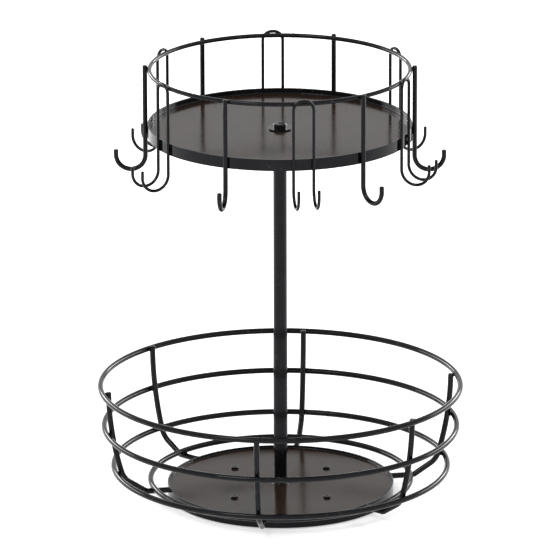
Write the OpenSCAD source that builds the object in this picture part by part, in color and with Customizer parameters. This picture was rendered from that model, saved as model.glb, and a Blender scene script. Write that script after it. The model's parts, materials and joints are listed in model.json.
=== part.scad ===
// Two-tier cup holder rack that turns on a low swivel stand.
// An open wire basket stands below, and a railed tray on a centre post stands above it, with mug
// hooks and spoon hooks welded round its edge.
// Millimetres. +Z is up, the origin is on the turning axis at table level, and -Y is the front.

/* [Upper tier] */
// Radius of the rail's centre line
rail_r = 101.6; // [90:0.1:115]
// Height of the rail's centre line above the table
rail_z = 347.8; // [320:0.1:380]
// Thickness of the rail's wire
rail_wire_d = 3.5; // [3:0.1:5]
// Height of the upper tray's lower edge above the table
tray_z = 295; // [285:0.1:310]

/* [Trays] */
// Height of the flat hoop round each tray
hoop_h = 9.2; // [8:0.1:14]
// Thickness of each hoop
hoop_t = 1.5; // [1:0.1:2]
// Thickness of each tray's floor
floor_t = 1.2; // [0.8:0.1:1.8]
// Depth of the upper tray's floor below the top of its hoop
floor_sink = 4.2; // [3:0.1:5]

/* [Mug hooks] */
// Thickness of the mug hooks' wire
mug_wire_d = 3.8; // [3:0.1:5]
// Height that the mug hooks' wires rise above the rail's centre line
mug_rise = 2; // [1:0.1:6]
// Bend radius of the mug hooks
mug_bend_r = 11.5; // [8:0.1:14]
// Height of the lowest point of a mug hook's centre line
mug_low_z = 266.2; // [250:0.1:272]
// Straight length at the tip of a mug hook
mug_tip = 3.8; // [2:0.1:12]

/* [Spoon hooks] */
// Thickness of the spoon hooks' wire
spoon_wire_d = 2.5; // [2:0.1:3.5]
// Distance between the two legs of a spoon hook
spoon_span = 15.8; // [15:0.1:20]
// Bend radius of the top corners of a spoon hook
spoon_corner_r = 7; // [5:0.1:7.4]
// Height that the spoon hooks rise above the rail's centre line
spoon_rise = 2.6; // [0.5:0.1:4]
// Bend radius of the spoon hooks' prongs
spoon_bend_r = 11.4; // [8:0.1:14]
// Height of the lowest point of a prong's centre line
spoon_low_z = 268.3; // [250:0.1:272]
// Straight length at the tip of a prong
spoon_tip = 5.3; // [2:0.1:12]

/* [Basket] */
// Thickness of the basket's wires
basket_wire_d = 4.5; // [3.5:0.1:5.5]
// Radius of the top ring's centre line
top_ring_r = 142; // [136:0.5:150]
// Height of the top ring's centre line above the table
top_ring_z = 90; // [80:0.5:110]
// Radius of the bottom ring's centre line
low_ring_r = 132; // [130:0.5:134]
// Height of the bottom ring's centre line above the table
low_ring_z = 24.5; // [24:0.1:28]
// Radius of the centre line of the ring that lies on the uprights' feet
base_ring_r = 102.9; // [98:0.1:105]
// Height of that ring's centre line above the table
base_ring_z = 12.7; // [12.3:0.05:13.5]
// Radius of the bow in the basket's side
side_bow_r = 245; // [200:5:400]
// Place of the middle ring, as a share of the way down from the top ring
mid_ring_share = 0.5; // [0.35:0.01:0.65]
// Height that the highest upright rises above the top ring's centre line
upright_rise = 2.9; // [0:0.1:6]
// Turn of the front pair of uprights from the front
pair_turn_front = -7.8; // [-12:0.1:0]
// Turn of the right-hand pair of uprights from the front
pair_turn_right = 48.1; // [40:0.1:60]
// Turn of the side pair of uprights from the front
pair_turn_side = 100.8; // [95:0.1:115]
// Bend radius where an upright turns in under the basket
upright_bend_r = 16; // [12:0.5:20]
// Lean of an upright below that bend, from the vertical
upright_lean = 57; // [50:0.5:60]
// Bend radius where an upright turns level
foot_bend_r = 4; // [3:0.1:6]

/* [Lower tray] */
// Outer radius of the lower tray's hoop
base_hoop_r = 89.4; // [88.2:0.1:95]
// Height of the lower tray's lower edge above the table
base_hoop_z = 0.9; // [0.8:0.05:1.2]
// Height of the underside of the lower tray's floor above that edge
base_floor_lift = 6.1; // [6:0.05:6.5]

/* [Post] */
// Outer diameter of the upper tube
upper_tube_d = 10.7; // [9:0.1:12]
// Outer diameter of the lower tube
lower_tube_d = 11.2; // [10:0.1:13]
// Wall of both tubes
tube_wall = 1; // [0.8:0.1:1.5]
// Height of the joint between the tubes above the table
post_joint_z = 133; // [110:1:200]
// Length of the coupler's half in each tube
coupler_half = 22; // [12:1:40]
// Length of the threaded plug at each end of the post
plug_h = 18; // [12:1:30]

/* [Stand] */
// Clearance between the stand plate's edge and the inside of the lower tray's hoop
stand_clear = 2.4; // [1.9:0.1:3.7]
// Thickness of the stand plate
stand_t = 1; // [0.8:0.05:1.1]
// Height of the stand plate's top above the table
stand_top_z = 3.3; // [3.2:0.05:3.4]
// Radius of the stand plate's pressed edge
stand_edge_r = 1.6; // [1.3:0.1:1.9]
// Gap between the stand's edge and the table
stand_gap = 0.9; // [0.5:0.1:1.2]
// Number of rubber feet
foot_count = 6; // [4:1:8]
// Radius of each rubber foot
foot_r = 6; // [4:0.1:6.4]
// Distance of the feet's centres from the stand plate's edge
foot_inset = 9; // [8.2:0.1:15]

/* [Bearing] */
// Diameter of a ball
ball_d = 2.6; // [2.4:0.1:2.8]
// Number of balls
ball_count = 24; // [12:1:30]
// Radius of the circle of balls
ball_circle_r = 57; // [52:0.5:60]
// Width of each race ring
race_w = 18; // [16:0.5:20]
// Height of each race ring
race_h = 1.5; // [1.4:0.05:1.55]
// Thickness of the ball cage
cage_t = 0.4; // [0.3:0.05:0.5]
// Width of the ball cage
cage_w = 14; // [11:0.5:15]
// Number of rivets in the lower race, and of screws in the upper race
fastener_count = 4; // [3:1:6]
// Shank radius of those rivets and screws
fastener_r = 1.6; // [1.2:0.1:1.8]
// Distance of those rivets and screws from the races' inner edge
fastener_inset = 3.6; // [3:0.1:4]

/* [Pivot] */
// Shank radius of the pivot bolt and of the tray screw
bolt_r = 3; // [2.5:0.1:3.2]
// Outer radius of the pivot bush
bush_r = 6; // [5:0.1:7]
// Width of the washers beyond the bush
washer_lap = 4; // [3:0.1:5]
// Share of a plug's height that its bolt or screw fills
screw_reach_share = 0.9; // [0.5:0.05:0.95]

/* [Hidden] */

wire_fn = 32;
ring_fn = 180;
bow_fn = 720;
hole_fn = 40;
tube_fn = 64;
overrun = 1;
joint_swell = 0.04;
end_bevel = 0.5;

// Clearances
run_clear = 0.05;
fit_clear = 0.05;
hole_clear = 0.2;
lift_clear = 0.2;

coat_colour = [0.13, 0.13, 0.14];
gloss_colour = [0.1, 0.07, 0.06];
steel_colour = [0.62, 0.63, 0.65];
rubber_colour = [0.05, 0.05, 0.05];

// Turns of the hooks from the front, which aren't quite even, and the mug hooks' twists on their wires
mug_turns = [-23.5, 37.5, 90.5, 156, 215.5, 268];
mug_twists = [12, 0, 0, 0, 0, 0];
spoon_turns = [10, 68.5, 119.5, 183, 242, 300];

// Both kinds of hook touch the rail's outer side, and the tray's hoop has the same radius
weld_r = rail_r + rail_wire_d / 2;
tray_floor_top = tray_z + hoop_h - floor_sink;
tray_floor_under = tray_floor_top - floor_t;
mug_r = weld_r + mug_wire_d / 2;
mug_top_z = rail_z + mug_rise;
mug_bend_z = mug_low_z + mug_bend_r;
spoon_top_z = rail_z + spoon_rise;
spoon_bend_z = spoon_low_z + spoon_bend_r;
spoon_flat = spoon_span - 2 * spoon_corner_r;

// A spoon hook's arch lies in a plane, and touches the rail where it crosses the rail's height
arch_touch = spoon_flat / 2 + sqrt(pow(spoon_corner_r, 2) - pow(spoon_corner_r - spoon_rise, 2));
spoon_r = sqrt(pow(weld_r + spoon_wire_d / 2, 2) - pow(arch_touch, 2));

base_floor_under = base_hoop_z + base_floor_lift;
base_floor_top = base_floor_under + floor_t;

// The rings' centres lie on one bow, and the uprights follow it one wire further in
ring_gap_r = top_ring_r - low_ring_r;
ring_gap_z = top_ring_z - low_ring_z;
ring_chord = norm([ring_gap_r, ring_gap_z]);
chord_lean = atan2(ring_gap_r, ring_gap_z);
bow_depth = sqrt(side_bow_r * side_bow_r - ring_chord * ring_chord / 4);
bow_r0 = (top_ring_r + low_ring_r) / 2 - bow_depth * cos(chord_lean);
bow_z0 = (top_ring_z + low_ring_z) / 2 + bow_depth * sin(chord_lean);
mid_ring_z = top_ring_z - mid_ring_share * ring_gap_z;
mid_ring_lean = asin((bow_z0 - mid_ring_z) / side_bow_r);
mid_ring_r = bow_r0 + side_bow_r * cos(mid_ring_lean);

upright_bow_r = side_bow_r - basket_wire_d;
upright_rise_shares = [0, 0.2, 0, 0.5, 1, 0.55];
low_lean = asin((bow_z0 - low_ring_z) / side_bow_r);
bow_end_r = bow_r0 + upright_bow_r * cos(low_lean);
bow_end_z = bow_z0 - upright_bow_r * sin(low_lean);
slope_top_r = bow_end_r - upright_bend_r * (cos(low_lean) - cos(upright_lean));
slope_top_z = bow_end_z - upright_bend_r * (sin(upright_lean) - sin(low_lean));
foot_wire_z = base_ring_z - basket_wire_d;
slope_end_z = foot_wire_z + foot_bend_r * (1 - sin(upright_lean));
slope_run = (slope_top_z - slope_end_z) / cos(upright_lean);

// A foot runs level below the base ring, from its bend to the lower tray's hoop
foot_start_r = slope_top_r - slope_run * sin(upright_lean) - foot_bend_r * cos(upright_lean);
foot_level = foot_start_r - base_hoop_r - fit_clear;
pair_turns = [pair_turn_front, pair_turn_right, pair_turn_side];

// The swivel
stand_r = base_hoop_r - hoop_t - stand_clear;
foot_circle_r = stand_r - foot_inset;
race_in_r = ball_circle_r - race_w / 2;
fastener_circle_r = race_in_r + fastener_inset;
ball_z = (stand_top_z + base_floor_under) / 2;
groove_r = ball_d / 2 + run_clear;
stand_under_z = stand_top_z - stand_t;
washer_r = bush_r + washer_lap;
pivot_washer_t = 0.6;
pivot_washer_z = stand_under_z - lift_clear - pivot_washer_t;
bolt_head_h = 1.2;
bolt_head_share = 1.8;
bolt_head_r = bolt_head_share * bolt_r;
bolt_head_z = pivot_washer_z - bolt_head_h;
rivet_head_h = 1.2;
screw_head_h = 1.6;
fastener_head_share = 2;
fastener_head_r = fastener_head_share * fastener_r;

tray_washer_t = 1;
tray_screw_head_h = 3.2;
screw_reach = screw_reach_share * plug_h;

// Shares of a screw head's radius and height
key_share = 0.35;
key_depth_share = 0.6;
head_bevel_share = 0.3;

// Turns what is drawn for the radius along +X to a turn from the front
module at_turn(turn) {
    rotate([0, 0, turn - 90])
        children();
}

// A straight length of wire along +Z, with the next length on its end
module run(length, wire_d) {
    cylinder(h = length, d = wire_d, $fn = wire_fn);
    translate([0, 0, length])
        children();
}

// A bend of the wire from +Z towards +X, with the next length on its end
module bend(radius, angle, wire_d, fn = ring_fn) {
    translate([radius, 0, 0])
        rotate([90, 0, 180])
            rotate_extrude(angle = angle, $fn = fn)
                translate([radius, 0])
                    circle(d = wire_d, $fn = wire_fn);
    translate([radius * (1 - cos(angle)), 0, radius * sin(angle)])
        rotate([0, angle, 0])
            children();
}

// The blended joint of two lengths that meet at a slight angle
module joint(wire_d) {
    sphere(d = wire_d + joint_swell, $fn = wire_fn);
    children();
}

// The cut end of a wire, with its edge taken off
module cut_end(wire_d) {
    cylinder(h = end_bevel, d1 = wire_d, d2 = wire_d - 2 * end_bevel, $fn = wire_fn);
}

module wire_ring(radius, wire_d) {
    rotate_extrude($fn = ring_fn)
        translate([radius, 0])
            circle(d = wire_d, $fn = wire_fn);
}

module tube(height, outer_r, inner_r, fn = ring_fn) {
    difference() {
        cylinder(h = height, r = outer_r, $fn = fn);
        translate([0, 0, -overrun])
            cylinder(h = height + 2 * overrun, r = inner_r, $fn = fn);
    }
}

// Repeats its children round the axis, the first one half a step on if offset is 1
module round_the_axis(count, offset = 0) {
    for (i = [0 : count - 1])
        rotate([0, 0, (i + offset / 2) * 360 / count])
            children();
}

// Pressed steel plate that stands still on the table
module stand_plate() {
    corner_in = stand_r - stand_edge_r;
    color(coat_colour)
        difference() {
            rotate_extrude($fn = ring_fn) {
                translate([0, stand_under_z])
                    square([corner_in, stand_t]);
                translate([stand_r - stand_t, stand_gap])
                    square([stand_t, stand_top_z - stand_edge_r - stand_gap]);
                translate([corner_in, stand_top_z - stand_edge_r])
                    intersection() {
                        difference() {
                            circle(r = stand_edge_r, $fn = wire_fn);
                            circle(r = stand_edge_r - stand_t, $fn = wire_fn);
                        }
                        square(stand_edge_r);
                    }
            }
            translate([0, 0, stand_under_z - overrun])
                cylinder(h = stand_t + 2 * overrun, r = bush_r + run_clear, $fn = hole_fn);
            round_the_axis(fastener_count)
                translate([fastener_circle_r, 0, stand_under_z - overrun])
                    cylinder(h = stand_t + 2 * overrun, r = fastener_r + fit_clear, $fn = hole_fn);
        }
}

module rubber_feet() {
    color(rubber_colour)
        round_the_axis(foot_count)
            translate([foot_circle_r, 0, 0])
                cylinder(h = stand_under_z, r = foot_r, $fn = hole_fn);
}

// A flat ring with a groove for the balls; the groove is cut about the balls' own centres
module race(base_z) {
    difference() {
        rotate_extrude($fn = ring_fn)
            difference() {
                translate([race_in_r, base_z])
                    square([race_w, race_h]);
                translate([ball_circle_r, ball_z])
                    circle(r = groove_r, $fn = hole_fn);
            }
        children();
    }
}

module lower_race() {
    color(steel_colour)
        race(stand_top_z)
            round_the_axis(fastener_count)
                translate([fastener_circle_r, 0, stand_top_z - overrun])
                    cylinder(h = race_h + 2 * overrun, r = fastener_r + fit_clear, $fn = hole_fn);
}

// Rivets from the lower race through the stand plate, with flat heads below it
module lower_race_rivets() {
    color(steel_colour)
        round_the_axis(fastener_count)
            translate([fastener_circle_r, 0, 0]) {
                translate([0, 0, stand_under_z])
                    cylinder(h = stand_t + race_h, r = fastener_r, $fn = hole_fn);
                translate([0, 0, stand_under_z - rivet_head_h])
                    cylinder(h = rivet_head_h, r1 = fastener_r, r2 = fastener_head_r, $fn = hole_fn);
            }
}

// Flat ring that keeps the balls apart
module ball_cage() {
    color(steel_colour)
        difference() {
            translate([0, 0, ball_z - cage_t / 2])
                tube(cage_t, ball_circle_r + cage_w / 2, ball_circle_r - cage_w / 2);
            round_the_axis(ball_count)
                translate([ball_circle_r, 0, ball_z - cage_t])
                    cylinder(h = 2 * cage_t, r = ball_d / 2 + run_clear, $fn = hole_fn);
        }
}

module bearing_balls() {
    color(steel_colour)
        round_the_axis(ball_count)
            translate([ball_circle_r, 0, ball_z])
                sphere(d = ball_d, $fn = hole_fn);
}

module upper_race() {
    color(steel_colour)
        race(base_floor_under - race_h)
            round_the_axis(fastener_count, 1)
                translate([fastener_circle_r, 0, base_floor_under - race_h - overrun])
                    cylinder(h = race_h + 2 * overrun, r = fastener_r + fit_clear, $fn = hole_fn);
}

// Screws from the basket's floor down into the upper race
module upper_race_screws() {
    color(coat_colour)
        round_the_axis(fastener_count, 1)
            translate([fastener_circle_r, 0, 0]) {
                translate([0, 0, base_floor_under - race_h])
                    cylinder(h = race_h + floor_t, r = fastener_r, $fn = hole_fn);
                translate([0, 0, base_floor_top])
                    screw_head(fastener_head_r, screw_head_h);
            }
}

// A low head with a bevelled top edge and a hexagonal key hole
module screw_head(head_r, head_h) {
    edge = head_h * head_bevel_share;
    difference() {
        union() {
            cylinder(h = head_h - edge, r = head_r, $fn = hole_fn);
            translate([0, 0, head_h - edge])
                cylinder(h = edge, r1 = head_r, r2 = head_r - edge, $fn = hole_fn);
        }
        translate([0, 0, head_h * (1 - key_depth_share)])
            cylinder(h = head_h, r = head_r * key_share, $fn = 6);
    }
}

// Sleeve that turns in the stand plate's bore and holds up the post bolt
module pivot_bush() {
    color(steel_colour)
        translate([0, 0, stand_under_z - lift_clear])
            tube(base_floor_under - stand_under_z + lift_clear, bush_r, bolt_r + fit_clear, hole_fn);
}

module pivot_washer() {
    color(steel_colour)
        translate([0, 0, pivot_washer_z])
            tube(pivot_washer_t, washer_r, bolt_r + fit_clear, hole_fn);
}

// Bolt from below the stand, up through the bush and the basket's floor into the post
module pivot_bolt() {
    color(steel_colour) {
        translate([0, 0, pivot_washer_z])
            cylinder(h = base_floor_top + screw_reach - pivot_washer_z, r = bolt_r, $fn = hole_fn);
        translate([0, 0, pivot_washer_z])
            mirror([0, 0, 1])
                screw_head(bolt_head_r, bolt_head_h);
    }
}

// The flat hoop and the floor disc that make a tray
module hoop(base_z, outer_r) {
    translate([0, 0, base_z])
        tube(hoop_h, outer_r, outer_r - hoop_t);
}

module floor_disc(base_z, hoop_r) {
    difference() {
        translate([0, 0, base_z])
            cylinder(h = floor_t, r = hoop_r - hoop_t - fit_clear, $fn = ring_fn);
        translate([0, 0, base_z - overrun])
            cylinder(h = floor_t + 2 * overrun, r = bolt_r + hole_clear, $fn = hole_fn);
        children();
    }
}

module basket_hoop() {
    color(coat_colour)
        hoop(base_hoop_z, base_hoop_r);
}

module basket_floor() {
    color(gloss_colour)
        floor_disc(base_floor_under, base_hoop_r)
            round_the_axis(fastener_count, 1)
                translate([fastener_circle_r, 0, base_floor_under - overrun])
                    cylinder(h = floor_t + 2 * overrun, r = fastener_r + fit_clear, $fn = hole_fn);
}

// The level foot of an upright, after its last bend
module upright_foot() {
    bend(foot_bend_r, 90 - upright_lean, basket_wire_d)
        joint(basket_wire_d)
            run(foot_level, basket_wire_d);
}

// One side wire of the basket: down along the bow, in under the rings and level to the hoop
module basket_upright(index) {
    turn = pair_turns[(index - 1) % 3] + (index > 3 ? 180 : 0);
    top_z = top_ring_z + upright_rise_shares[index - 1] * upright_rise;
    top_lean = asin((bow_z0 - top_z) / upright_bow_r);
    color(coat_colour)
        at_turn(turn)
            translate([bow_r0 + upright_bow_r * cos(top_lean), 0, top_z])
                rotate([0, 180 + top_lean, 0]) {
                    mirror([0, 0, 1])
                        cut_end(basket_wire_d);
                    bend(upright_bow_r, low_lean - top_lean, basket_wire_d, bow_fn)
                        joint(basket_wire_d)
                            bend(upright_bend_r, upright_lean - low_lean, basket_wire_d)
                                joint(basket_wire_d)
                                    run(slope_run, basket_wire_d)
                                        joint(basket_wire_d)
                                            upright_foot();
                }
}

module basket_base_ring() {
    color(coat_colour)
        translate([0, 0, base_ring_z])
            wire_ring(base_ring_r, basket_wire_d);
}

module basket_low_ring() {
    color(coat_colour)
        translate([0, 0, low_ring_z])
            wire_ring(low_ring_r, basket_wire_d);
}

module basket_middle_ring() {
    color(coat_colour)
        translate([0, 0, mid_ring_z])
            wire_ring(mid_ring_r, basket_wire_d);
}

module basket_top_ring() {
    color(coat_colour)
        translate([0, 0, top_ring_z])
            wire_ring(top_ring_r, basket_wire_d);
}

// Threaded plugs in the ends of the post
module post_foot_plug() {
    color(steel_colour)
        translate([0, 0, base_floor_top])
            tube(plug_h, lower_tube_d / 2 - tube_wall - fit_clear, bolt_r + fit_clear, hole_fn);
}

module post_head_plug() {
    color(steel_colour)
        translate([0, 0, tray_floor_under - plug_h])
            tube(plug_h, upper_tube_d / 2 - tube_wall - fit_clear, bolt_r + fit_clear, hole_fn);
}

module post_lower_tube() {
    color(coat_colour)
        translate([0, 0, base_floor_top])
            tube(post_joint_z - base_floor_top, lower_tube_d / 2, lower_tube_d / 2 - tube_wall, tube_fn);
}

module post_upper_tube() {
    color(coat_colour)
        translate([0, 0, post_joint_z])
            tube(tray_floor_under - post_joint_z, upper_tube_d / 2, upper_tube_d / 2 - tube_wall, tube_fn);
}

// Stepped pin that joins the two tubes
module post_coupler() {
    color(steel_colour) {
        translate([0, 0, post_joint_z - coupler_half])
            cylinder(h = coupler_half, r = lower_tube_d / 2 - tube_wall - fit_clear, $fn = hole_fn);
        translate([0, 0, post_joint_z])
            cylinder(h = coupler_half, r = upper_tube_d / 2 - tube_wall - fit_clear, $fn = hole_fn);
    }
}

module tray_hoop() {
    color(coat_colour)
        hoop(tray_z, weld_r);
}

module tray_floor() {
    color(gloss_colour)
        floor_disc(tray_floor_under, weld_r);
}

module tray_washer() {
    color(coat_colour)
        translate([0, 0, tray_floor_top])
            tube(tray_washer_t, washer_r, bolt_r + fit_clear, hole_fn);
}

// Screw from the tray down into the post's head plug
module tray_screw() {
    seat_z = tray_floor_top + tray_washer_t;
    color(coat_colour) {
        translate([0, 0, tray_floor_under - screw_reach])
            cylinder(h = seat_z - tray_floor_under + screw_reach, r = bolt_r, $fn = hole_fn);
        translate([0, 0, seat_z])
            screw_head(bolt_head_r, tray_screw_head_h);
    }
}

module rail_ring() {
    color(coat_colour)
        translate([0, 0, rail_z])
            wire_ring(rail_r, rail_wire_d);
}

// One wire down the outside of the rail and the hoop, with a hook at its foot
module mug_hook(index) {
    color(coat_colour)
        at_turn(mug_turns[index - 1])
            translate([mug_r, 0, mug_top_z])
                rotate([180, 0, mug_twists[index - 1]]) {
                    mirror([0, 0, 1])
                        cut_end(mug_wire_d);
                    run(mug_top_z - mug_bend_z, mug_wire_d)
                        bend(mug_bend_r, 180, mug_wire_d)
                            run(mug_tip, mug_wire_d)
                                cut_end(mug_wire_d);
                }
}

// A leg of a spoon hook below its top corner, with a prong at its foot
module spoon_leg() {
    rotate([-90, 0, 0])
        rotate([0, 0, 90])
            bend(spoon_corner_r, 90, spoon_wire_d)
                rotate([0, 0, -90])
                    run(spoon_top_z - spoon_corner_r - spoon_bend_z, spoon_wire_d)
                        bend(spoon_bend_r, 180, spoon_wire_d)
                            run(spoon_tip, spoon_wire_d)
                                cut_end(spoon_wire_d);
}

// One wire bent to an arch at the rail and to two prongs below the tray
module spoon_hook(index) {
    color(coat_colour)
        at_turn(spoon_turns[index - 1])
            translate([spoon_r, 0, spoon_top_z]) {
                translate([0, -spoon_flat / 2, 0])
                    rotate([-90, 0, 0])
                        cylinder(h = spoon_flat, d = spoon_wire_d, $fn = wire_fn);
                translate([0, spoon_flat / 2, 0])
                    spoon_leg();
                mirror([0, 1, 0])
                    translate([0, spoon_flat / 2, 0])
                        spoon_leg();
            }
}

stand_plate();
rubber_feet();
lower_race();
lower_race_rivets();
ball_cage();
bearing_balls();
upper_race();
upper_race_screws();
pivot_bush();
pivot_washer();
pivot_bolt();
basket_hoop();
basket_floor();
basket_upright(1);  // basket_upright_1
basket_upright(2);  // basket_upright_2
basket_upright(3);  // basket_upright_3
basket_upright(4);  // basket_upright_4
basket_upright(5);  // basket_upright_5
basket_upright(6);  // basket_upright_6
basket_base_ring();
basket_low_ring();
basket_middle_ring();
basket_top_ring();
post_foot_plug();
post_lower_tube();
post_coupler();
post_upper_tube();
post_head_plug();
tray_hoop();
tray_floor();
tray_washer();
tray_screw();
rail_ring();
mug_hook(1);  // mug_hook_1
mug_hook(2);  // mug_hook_2
mug_hook(3);  // mug_hook_3
mug_hook(4);  // mug_hook_4
mug_hook(5);  // mug_hook_5
mug_hook(6);  // mug_hook_6
spoon_hook(1);  // spoon_hook_1
spoon_hook(2);  // spoon_hook_2
spoon_hook(3);  // spoon_hook_3
spoon_hook(4);  // spoon_hook_4
spoon_hook(5);  // spoon_hook_5
spoon_hook(6);  // spoon_hook_6
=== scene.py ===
"""Looks of the cup holder rack: finishes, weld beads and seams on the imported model, camera and light."""
import json
import math
import random

import bmesh
import bpy
from mathutils import Matrix, Vector


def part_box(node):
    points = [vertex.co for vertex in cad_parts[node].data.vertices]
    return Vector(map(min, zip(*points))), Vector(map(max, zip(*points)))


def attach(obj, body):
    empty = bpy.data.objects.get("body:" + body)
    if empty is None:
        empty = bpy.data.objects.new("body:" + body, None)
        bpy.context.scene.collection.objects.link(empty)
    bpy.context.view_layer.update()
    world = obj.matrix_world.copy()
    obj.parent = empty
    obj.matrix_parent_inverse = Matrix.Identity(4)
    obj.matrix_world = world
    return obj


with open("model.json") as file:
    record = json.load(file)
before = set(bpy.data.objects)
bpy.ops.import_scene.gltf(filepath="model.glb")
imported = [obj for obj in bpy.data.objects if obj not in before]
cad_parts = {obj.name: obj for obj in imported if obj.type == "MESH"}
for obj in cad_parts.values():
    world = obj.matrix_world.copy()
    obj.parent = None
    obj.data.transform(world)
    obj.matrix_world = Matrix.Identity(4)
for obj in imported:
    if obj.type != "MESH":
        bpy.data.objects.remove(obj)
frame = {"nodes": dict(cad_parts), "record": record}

MM = 0.001
UP = Vector((0, 0, 1))
SIX = range(1, 7)
UPRIGHTS = ["basket_upright_%d" % i for i in SIX]
MUG_HOOKS = ["mug_hook_%d" % i for i in SIX]
SPOON_HOOKS = ["spoon_hook_%d" % i for i in SIX]
BASKET_RINGS = ["basket_low_ring", "basket_middle_ring", "basket_top_ring"]
ALL_RINGS = BASKET_RINGS + ["basket_base_ring", "rail_ring"]

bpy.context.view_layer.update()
nodes = frame["nodes"]


# The camera, at the photograph's angle. The image is 551 pixels each way.

IMAGE_PIXELS = 551
FOCAL_PIXELS = 7259.8
SENSOR_WIDTH = 36
CAMERA_DISTANCE = 5.7026
CAMERA_ELEVATION = math.radians(16.967)
CAMERA_ROLL = math.radians(-0.131)
CAMERA_AIM = Vector((-3.7 * MM, 0, 179.9 * MM))
CLIP_START = 0.1
CLIP_END = 100


def make_camera():
    data = bpy.data.cameras.new("camera")
    data.sensor_width = SENSOR_WIDTH
    data.lens = FOCAL_PIXELS / IMAGE_PIXELS * SENSOR_WIDTH
    data.clip_start = CLIP_START
    data.clip_end = CLIP_END
    camera = bpy.data.objects.new("camera", data)
    bpy.context.scene.collection.objects.link(camera)
    back = Vector((0, -math.cos(CAMERA_ELEVATION), math.sin(CAMERA_ELEVATION)))
    roll = Matrix.Rotation(CAMERA_ROLL, 4, "Z")
    camera.matrix_world = (Matrix.Translation(CAMERA_AIM + back * CAMERA_DISTANCE)
                           @ (-back).to_track_quat("-Z", "Y").to_matrix().to_4x4() @ roll)
    bpy.context.scene.camera = camera


# Materials. Texture coordinates are in metres, so a noise of scale 1000 has features of about 1 mm.

COAT_COLOURS = ((0.0025, 0.0025, 0.003), (0.006, 0.006, 0.007))
COAT_TINT = (0.93, 0.95, 1, 1)
SCUFF_COLOUR = (0.045, 0.044, 0.043)
ENAMEL_COLOURS = ((0.014, 0.008, 0.005), (0.024, 0.014, 0.010))
ZINC_COLOURS = ((0.30, 0.305, 0.315), (0.42, 0.425, 0.43))
BALL_COLOURS = ((0.60, 0.59, 0.56), (0.74, 0.74, 0.75))
RUBBER_COLOURS = ((0.022, 0.022, 0.023), (0.040, 0.039, 0.038))

# Scales of the noise along and across the enamel's rub marks, and turns that set its two sets apart
RUB_ALONG = 25
RUB_ACROSS = 900
RUB_TURNS = (25, 10)


class Finish:
    """A node material that is built up in a few lines."""

    def __init__(self, name):
        self.material = bpy.data.materials.new(name)
        self.material.use_nodes = True
        self.tree = self.material.node_tree
        self.shader = self.tree.nodes["Principled BSDF"]
        self.place = self.tree.nodes.new("ShaderNodeTexCoord").outputs["Object"]

    def node(self, kind, **settings):
        made = self.tree.nodes.new(kind)
        for key, value in settings.items():
            setattr(made, key, value)
        return made

    def link(self, output, socket):
        self.tree.links.new(output, socket)

    def set(self, **values):
        for key, value in values.items():
            self.shader.inputs[key.replace("_", " ")].default_value = value

    def stretched(self, scale, turn):
        """The coordinates scaled by three numbers, and then turned about +Z, in degrees."""
        mapping = self.node("ShaderNodeMapping")
        mapping.inputs["Rotation"].default_value = (0, 0, math.radians(turn))
        mapping.inputs["Scale"].default_value = scale
        self.link(self.place, mapping.inputs["Vector"])
        return mapping.outputs["Vector"]

    def noise(self, scale, detail, place=None, roughness=0.5):
        made = self.node("ShaderNodeTexNoise")
        made.inputs["Scale"].default_value = scale
        made.inputs["Detail"].default_value = detail
        made.inputs["Roughness"].default_value = roughness
        self.link(place or self.place, made.inputs["Vector"])
        return made.outputs["Fac"]

    def ramp(self, value, low, high, out_low=0, out_high=1):
        """The value between low and high, drawn out to the two outputs."""
        made = self.node("ShaderNodeMapRange")
        for key, number in (("From Min", low), ("From Max", high), ("To Min", out_low), ("To Max", out_high)):
            made.inputs[key].default_value = number
        self.link(value, made.inputs["Value"])
        return made.outputs["Result"]

    def math(self, operation, first, second):
        made = self.node("ShaderNodeMath", operation=operation)
        for value, socket in ((first, made.inputs[0]), (second, made.inputs[1])):
            if isinstance(value, (int, float)):
                socket.default_value = value
            else:
                self.link(value, socket)
        return made.outputs[0]

    def colours(self, value, first, second):
        """A mix of two colours, or of two colour outputs, by a value."""
        made = self.node("ShaderNodeMix", data_type="RGBA")
        for colour, socket in ((first, made.inputs[6]), (second, made.inputs[7])):
            if isinstance(colour, tuple):
                socket.default_value = (*colour, 1)
            else:
                self.link(colour, socket)
        self.link(value, made.inputs["Factor"])
        return made.outputs[2]

    def bump(self, height, distance, after=None):
        made = self.node("ShaderNodeBump")
        made.inputs["Strength"].default_value = 1
        made.inputs["Distance"].default_value = distance
        self.link(height, made.inputs["Height"])
        if after is not None:
            self.link(after, made.inputs["Normal"])
        return made.outputs["Normal"]

    def finish(self, colour, roughness, normal):
        self.link(colour, self.shader.inputs["Base Color"])
        self.link(roughness, self.shader.inputs["Roughness"])
        self.link(normal, self.shader.inputs["Normal"])
        return self.material


def coated_wire():
    """Satin black powder coat with a fine orange peel, and scuffs that show as dull grey specks."""
    f = Finish("coated_wire")
    f.set(IOR=1.27, Specular_Tint=COAT_TINT)
    patches = f.noise(scale=60, detail=3)
    specks = f.noise(scale=2400, detail=2)
    coat = f.colours(f.ramp(patches, low=0.35, high=0.65), *COAT_COLOURS)
    scuffs = f.math("MULTIPLY", f.ramp(f.noise(scale=140, detail=4, roughness=0.7), low=0.60, high=0.66),
                    f.ramp(f.noise(scale=1500, detail=2), low=0.50, high=0.62))
    colour = f.colours(scuffs, coat, SCUFF_COLOUR)
    roughness = f.math("ADD", f.ramp(patches, low=0.3, high=0.7, out_low=0.06, out_high=0.10),
                       f.ramp(specks, low=0.4, high=0.7, out_high=0.03))
    roughness = f.math("ADD", roughness, f.math("MULTIPLY", scuffs, 0.2))
    peel = f.bump(f.noise(scale=750, detail=2), distance=0.025 * MM)
    return f.finish(colour, roughness, f.bump(specks, distance=0.006 * MM, after=peel))


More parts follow.
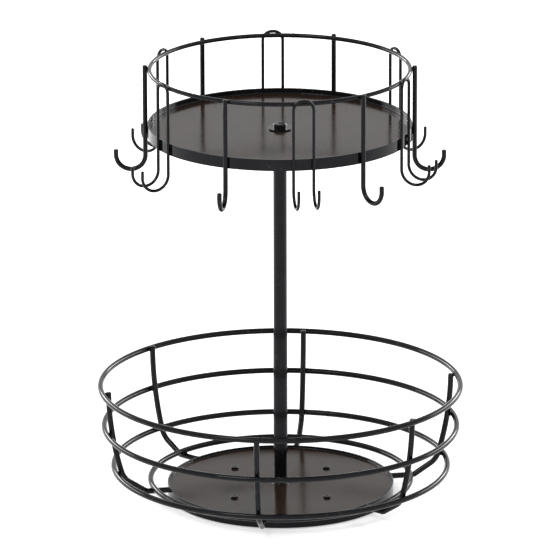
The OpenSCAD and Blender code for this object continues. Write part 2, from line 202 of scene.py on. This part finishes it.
def tray_gloss():
    """Glossy black-brown enamel, nearly flat, with faint rub marks."""
    f = Finish("tray_gloss")
    f.set(IOR=1.2)
    patches = f.noise(scale=35, detail=3)
    colour = f.colours(f.ramp(patches, low=0.35, high=0.65), *ENAMEL_COLOURS)
    along_y = f.stretched((RUB_ACROSS, RUB_ALONG, RUB_ALONG), RUB_TURNS[0])
    along_x = f.stretched((RUB_ALONG, RUB_ACROSS, RUB_ALONG), RUB_TURNS[1])
    rubs = f.math("MAXIMUM", f.noise(scale=1, detail=2, place=along_y),
                  f.noise(scale=1, detail=2, place=along_x))
    roughness = f.math("ADD", f.ramp(patches, low=0.3, high=0.7, out_low=0.12, out_high=0.18),
                       f.ramp(rubs, low=0.6, high=0.75, out_high=0.08))
    dish = f.bump(f.noise(scale=18, detail=1), distance=0.25 * MM)
    return f.finish(colour, roughness, f.bump(f.noise(scale=600, detail=2), distance=0.008 * MM, after=dish))


def zinc_steel():
    """Zinc plate that has dulled a little, with a faint grain."""
    f = Finish("zinc_steel")
    f.set(Metallic=1.0)
    grain = f.noise(scale=260, detail=4)
    colour = f.colours(f.ramp(grain, low=0.3, high=0.7), *ZINC_COLOURS)
    roughness = f.ramp(f.noise(scale=500, detail=3), low=0.3, high=0.7, out_low=0.30, out_high=0.42)
    return f.finish(colour, roughness, f.bump(grain, distance=0.006 * MM))


def bearing_steel():
    """Polished balls under a thin film of grease."""
    f = Finish("bearing_steel")
    f.set(Metallic=1.0)
    film = f.noise(scale=400, detail=3)
    colour = f.colours(f.ramp(film, low=0.4, high=0.6), *BALL_COLOURS)
    roughness = f.ramp(film, low=0.3, high=0.7, out_low=0.06, out_high=0.2)
    return f.finish(colour, roughness, f.bump(film, distance=0.004 * MM))


def rubber():
    """Matt black moulded rubber, dusty in places."""
    f = Finish("rubber")
    f.set(IOR=1.45)
    grain = f.noise(scale=1400, detail=4)
    colour = f.colours(f.ramp(f.noise(scale=120, detail=3), low=0.3, high=0.7), *RUBBER_COLOURS)
    roughness = f.ramp(grain, low=0.3, high=0.7, out_low=0.7, out_high=0.85)
    return f.finish(colour, roughness, f.bump(grain, distance=0.03 * MM))


def dress_nodes(finishes):
    """Puts each node's finish on it, by the slot that the record gives the node."""
    slots = {part["node"]: part["material_slot"] for part in frame["record"]["subparts"]}
    for name, piece in nodes.items():
        piece.data.materials.clear()
        piece.data.materials.append(finishes[slots[name]])


# Places on the frame, and how far from a crossing's height a wire's skin is looked at

UPRIGHT_REACH = 3 * MM
MUG_HOOK_REACH = 4 * MM
ARCH_REACH = 1 * MM


def ring_of(name):
    """Radius and height of a ring's centre line, and its wire's thickness."""
    low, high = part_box(name)
    wire = high.z - low.z
    return high.x - wire / 2, (low.z + high.z) / 2, wire


def centre_near(name, z, reach):
    """The centre of a wire node's skin within reach of a height."""
    near = [v.co for v in nodes[name].data.vertices if abs(v.co.z - z) < reach]
    return sum(near, Vector()) / len(near)


def arch_crossings(hook, z):
    """The two directions in which the sides of a spoon hook's arch cross a height."""
    middle = radial(centre_near(hook, z, ARCH_REACH))
    aside = UP.cross(middle)
    sides = []
    for side in (-1, 1):
        leg = [v.co for v in nodes[hook].data.vertices
               if abs(v.co.z - z) < ARCH_REACH and v.co.dot(aside) * side > 0]
        sides.append(radial(sum(leg, Vector()) / len(leg)))
    return sides


def radial(point):
    return Vector((point.x, point.y, 0)).normalized()


def around(point):
    return UP.cross(radial(point))


def from_front(turn):
    """The outward direction at a turn from the front, in radians."""
    return Vector((math.sin(turn), -math.cos(turn), 0))


# Weld beads: where two wires touch, the metal squeezed out of the weld fills the crevice under the coat.
# A bead's three half sizes are from wire to wire, along the ring or hoop, and across it. Those at the end
# of a foot are upwards, along the hoop and outwards.

RING_BEAD = (0.8 * MM, 1.9 * MM, 1.9 * MM)
FOOT_BEAD = (2.55 * MM, 2.6 * MM, 0.75 * MM)
RAIL_MUG_BEAD = (0.7 * MM, 1.7 * MM, 1.6 * MM)
RAIL_SPOON_BEAD = (0.5 * MM, 1.2 * MM, 1.3 * MM)
HOOP_MUG_BEAD = (0.6 * MM, 1.3 * MM, 1.5 * MM)
HOOP_SPOON_BEAD = (0.5 * MM, 1.0 * MM, 1.4 * MM)
HOOP_BEAD_INSET = 2 * MM
BEAD_RINGS = 10
BEAD_SIDES = 16
BEAD_LUMPS = 0.12

# Drop from a spoon hook's top to the upper ends of its straight legs
ARCH_DROP = 8.25 * MM

# A bead's place in millimetres, with these weights, is the seed of its lumps
BEAD_SEED_WEIGHTS = Vector((7, 13, 3))


def add_bead(bm, centre, out, along, half):
    """A lumpy flattened bead. half holds its half sizes in the directions out, along and across both."""
    across = out.cross(along)
    weight_x, weight_y, weight_z = BEAD_SEED_WEIGHTS
    lumps = random.Random(round(centre.x / MM * weight_x + centre.y / MM * weight_y + centre.z / MM * weight_z))
    phases = [lumps.uniform(0, math.tau) for _ in range(3)]
    rows = []
    for i in range(BEAD_RINGS + 1):
        tilt = math.pi * i / BEAD_RINGS
        row = []
        for j in range(BEAD_SIDES):
            turn = math.tau * j / BEAD_SIDES
            swell = 1 + BEAD_LUMPS * math.sin(2 * turn + phases[0]) * math.sin(tilt)
            swell += BEAD_LUMPS / 2 * math.sin(3 * turn + phases[1]) * math.sin(2 * tilt + phases[2])
            point = centre + out * (half[0] * math.cos(tilt))
            point += along * (half[1] * swell * math.sin(tilt) * math.cos(turn))
            point += across * (half[2] * swell * math.sin(tilt) * math.sin(turn))
            row.append(point)
            if i in (0, BEAD_RINGS):
                break
        rows.append([bm.verts.new(p) for p in row])
    for upper, lower in zip(rows, rows[1:]):
        for j in range(BEAD_SIDES):
            k = (j + 1) % BEAD_SIDES
            ends = ((upper, j), (upper, k), (lower, k), (lower, j))
            corners = [row[step % len(row)] for row, step in ends]
            bm.faces.new(list(dict.fromkeys(corners)))


def make_piece(name, bm, material, body="carousel"):
    bmesh.ops.recalc_face_normals(bm, faces=bm.faces)
    data = bpy.data.meshes.new(name)
    bm.to_mesh(data)
    bm.free()
    data.polygons.foreach_set("use_smooth", [True] * len(data.polygons))
    piece = bpy.data.objects.new(name, data)
    bpy.context.scene.collection.objects.link(piece)
    piece.data.materials.append(material)
    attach(piece, body)


def basket_beads(finish):
    """Beads where the uprights touch the basket's four rings, and at their ends on the lower hoop."""
    bm = bmesh.new()
    for ring in BASKET_RINGS:
        radius, z, wire = ring_of(ring)
        for upright in UPRIGHTS:
            out = radial(centre_near(upright, z, UPRIGHT_REACH))
            centre = out * (radius - wire / 2) + UP * z
            add_bead(bm, centre, out, around(centre), RING_BEAD)
    radius, z, wire = ring_of("basket_base_ring")
    hoop_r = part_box("basket_hoop")[1].x
    foot_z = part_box(UPRIGHTS[0])[0].z + wire / 2
    for upright in UPRIGHTS:
        out = radial(centre_near(upright, foot_z, wire / 2))
        centre = out * radius + UP * (z - wire / 2)
        add_bead(bm, centre, UP, around(centre), RING_BEAD)
        add_bead(bm, out * hoop_r + UP * foot_z, UP, around(out), FOOT_BEAD)
    make_piece("basket_weld_beads", bm, finish)


def rail_beads(finish):
    """Beads where the hooks touch the rail and the upper tray's hoop."""
    bm = bmesh.new()
    radius, z, wire = ring_of("rail_ring")
    touch_r = radius + wire / 2
    hoop_low, hoop_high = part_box("tray_hoop")
    hoop_levels = (hoop_low.z + HOOP_BEAD_INSET, hoop_high.z - HOOP_BEAD_INSET)
    for hook in MUG_HOOKS:
        out = radial(centre_near(hook, z, MUG_HOOK_REACH))
        centre = out * touch_r + UP * z
        add_bead(bm, centre, out, around(centre), RAIL_MUG_BEAD)
        for level in hoop_levels:
            add_bead(bm, out * hoop_high.x + UP * level, out, around(out), HOOP_MUG_BEAD)
    for hook in SPOON_HOOKS:
        for out in arch_crossings(hook, z):
            centre = out * touch_r + UP * z
            add_bead(bm, centre, out, around(centre), RAIL_SPOON_BEAD)
        for out in arch_crossings(hook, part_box(hook)[1].z - ARCH_DROP):
            for level in hoop_levels:
                add_bead(bm, out * hoop_high.x + UP * level, out, around(out), HOOP_SPOON_BEAD)
    make_piece("rail_weld_beads", bm, finish)


# Butt welds that close the rings and hoops, at turns from the front in degrees, and fillets of coat.
# The turns of the rings' welds are in the order of ALL_RINGS.

RING_SEAM_TURNS = (163, 171, 157, 166, 174)
HOOP_SEAM_TURNS = (("basket_hoop", 156), ("tray_hoop", 171))
SEAM_STEPS = 10
SEAM_SIDES = 24
SEAM_HALF = 1.8 * MM
SEAM_SINK = 0.06 * MM
SEAM_RISE = 0.16 * MM
SEAM_INSET = 0.3 * MM
SEAM_LUMPS = (0.25, 0.15)
HOOP_WALL = 1.5 * MM
HOOP_SEAM_RISE = 0.22 * MM
HOOP_SEAM_HALF = 0.9 * MM
FILLET_STEPS = 6
FILLET_SIDES = 180
FILLET_ROOT = 0.1 * MM
TRAY_FILLET = 0.8 * MM
POST_FILLET = 1.2 * MM


def seams(finish):
    """The butt welds, ground flat but for a low ridge under the coat."""
    bm = bmesh.new()
    for ring, turn in zip(ALL_RINGS, RING_SEAM_TURNS):
        radius, z, wire = ring_of(ring)
        add_collar(bm, radius, z, wire / 2, math.radians(turn))
    for hoop, turn in HOOP_SEAM_TURNS:
        low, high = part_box(hoop)
        out = from_front(math.radians(turn))
        middle = (low.z + high.z) / 2
        half = (high.z - low.z) / 2 - SEAM_INSET
        for radius in (high.x, high.x - HOOP_WALL):
            add_bead(bm, out * radius + UP * middle, out, around(out), (HOOP_SEAM_RISE, HOOP_SEAM_HALF, half))
    make_piece("butt_weld_seams", bm, finish)


def add_collar(bm, radius, z, wire_r, turn):
    """A low swelling round a ring's wire. The turn is from the front."""
    rows = []
    for i in range(SEAM_STEPS + 1):
        share = 2 * i / SEAM_STEPS - 1
        out = from_front(turn + share * SEAM_HALF / radius)
        row = []
        for j in range(SEAM_SIDES):
            spin = math.tau * j / SEAM_SIDES
            lump = 1 + SEAM_LUMPS[0] * math.sin(3 * spin + turn * 5)
            lump += SEAM_LUMPS[1] * math.sin(5 * spin + turn)
            section = wire_r - SEAM_SINK + (SEAM_SINK + SEAM_RISE * lump) * math.cos(share * math.pi / 2) ** 2
            point = out * (radius + section * math.cos(spin)) + UP * (z + section * math.sin(spin))
            row.append(bm.verts.new(point))
        rows.append(row)
    join_rows(bm, rows)
    for row in (rows[0], rows[-1]):
        bm.faces.new(row)


def join_rows(bm, rows, closed=False):
    """Skins rows of points that each go round a section."""
    pairs = list(zip(rows, rows[1:])) + ([(rows[-1], rows[0])] if closed else [])
    for first, second in pairs:
        for j in range(len(first)):
            k = (j + 1) % len(first)
            bm.faces.new([first[j], first[k], second[k], second[j]])


def add_fillet(bm, radius, z, size, inward=True, upward=True):
    """A hollow fillet of coat in the corner of a wall and a floor, all the way round."""
    to_wall = 1 if inward else -1
    lift = 1 if upward else -1
    section = [(FILLET_ROOT, size), (0, size)]
    for i in range(1, FILLET_STEPS):
        angle = math.pi / 2 * i / FILLET_STEPS
        section.append((-size * (1 - math.cos(angle)), size * (1 - math.sin(angle))))
    section += [(-size, 0), (-size, -FILLET_ROOT), (FILLET_ROOT, -FILLET_ROOT)]
    rows = []
    for i in range(FILLET_SIDES):
        turn = math.tau * i / FILLET_SIDES
        out = Vector((math.cos(turn), math.sin(turn), 0))
        rows.append([bm.verts.new(out * (radius + to_wall * depth) + UP * (z + lift * height))
                     for depth, height in section])
    join_rows(bm, rows, closed=True)


def coat_fillets(finish):
    """Coat that has run into the corners of the trays and of the post."""
    bm = bmesh.new()
    for hoop, floor in (("basket_hoop", "basket_floor"), ("tray_hoop", "tray_floor")):
        wall_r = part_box(hoop)[1].x - HOOP_WALL
        low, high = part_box(floor)
        add_fillet(bm, wall_r, high.z, TRAY_FILLET)
        add_fillet(bm, wall_r, low.z, TRAY_FILLET, upward=False)
    post_low_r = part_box("post_lower_tube")[1].x
    post_high_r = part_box("post_upper_tube")[1].x
    add_fillet(bm, post_low_r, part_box("basket_floor")[1].z, POST_FILLET, inward=False)
    add_fillet(bm, post_high_r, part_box("tray_floor")[0].z, POST_FILLET, inward=False, upward=False)
    make_piece("coat_fillets", bm, finish)


# Stage: a plain pale floor that keeps the object's shadow, soft lamps and a white surround

FLOOR_HALF = 8
FLOOR_COLOUR = (0.86, 0.86, 0.86, 1)
FLOOR_LIFT = 0.45
WHITE = (1, 1, 1, 1)
WORLD_STRENGTH = 0.75
WHITE_STRENGTH = 1
LAMP_AIM = (0, 0, 0.18)

# Place, width and height, and power of each lamp
LAMPS = {"key": ((-0.9, -1.2, 1.9), (0.7, 0.7), 13),
         "left": ((-1.45, 1.3, 0.8), (1.8, 0.32), 24),
         "right": ((1.45, 1.3, 0.8), (1.8, 0.32), 24)}


def seen_rays(tree):
    """1 for the camera, glossy and transmission rays that see the background, and 0 for all others."""
    path = tree.nodes.new("ShaderNodeLightPath")
    seen = path.outputs["Is Camera Ray"]
    for kind in ("Is Glossy Ray", "Is Transmission Ray"):
        either = tree.nodes.new("ShaderNodeMath")
        either.operation = "MAXIMUM"
        tree.links.new(seen, either.inputs[0])
        tree.links.new(path.outputs[kind], either.inputs[1])
        seen = either.outputs[0]
    return seen


def make_floor():
    bm = bmesh.new()
    corners = [(-1, -1), (1, -1), (1, 1), (-1, 1)]
    bm.faces.new([bm.verts.new((x * FLOOR_HALF, y * FLOOR_HALF, 0)) for x, y in corners])
    data = bpy.data.meshes.new("floor")
    bm.to_mesh(data)
    bm.free()
    floor = bpy.data.objects.new("floor", data)
    bpy.context.scene.collection.objects.link(floor)
    f = Finish("floor")
    f.set(Base_Color=FLOOR_COLOUR, Roughness=0.9, Specular_IOR_Level=0.1)
    f.set(Emission_Color=WHITE)
    lift = f.math("MULTIPLY", seen_rays(f.tree), FLOOR_LIFT)
    f.link(lift, f.shader.inputs["Emission Strength"])
    data.materials.append(f.material)


def make_world():
    world = bpy.data.worlds.new("surround")
    bpy.context.scene.world = world
    world.use_nodes = True
    tree = world.node_tree
    background = tree.nodes["Background"]
    background.inputs["Color"].default_value = WHITE
    mix = tree.nodes.new("ShaderNodeMapRange")
    mix.inputs["To Min"].default_value = WORLD_STRENGTH
    mix.inputs["To Max"].default_value = WHITE_STRENGTH
    tree.links.new(seen_rays(tree), mix.inputs["Value"])
    tree.links.new(mix.outputs["Result"], background.inputs["Strength"])


def make_lamps():
    for name, (place, size, power) in LAMPS.items():
        data = bpy.data.lights.new(name, "AREA")
        data.shape = "RECTANGLE"
        data.size, data.size_y = size
        data.energy = power
        lamp = bpy.data.objects.new(name, data)
        bpy.context.scene.collection.objects.link(lamp)
        lamp.location = place
        lamp.rotation_mode = "QUATERNION"
        lamp.rotation_quaternion = (Vector(LAMP_AIM) - Vector(place)).to_track_quat("-Z", "Y")


make_camera()
bpy.context.scene.view_settings.view_transform = "Standard"
FINISHES = {make.__name__: make() for make in (coated_wire, tray_gloss, zinc_steel, bearing_steel, rubber)}
dress_nodes(FINISHES)
for make_metal in (basket_beads, rail_beads, seams, coat_fillets):
    make_metal(FINISHES["coated_wire"])
make_floor()
make_world()
make_lamps()
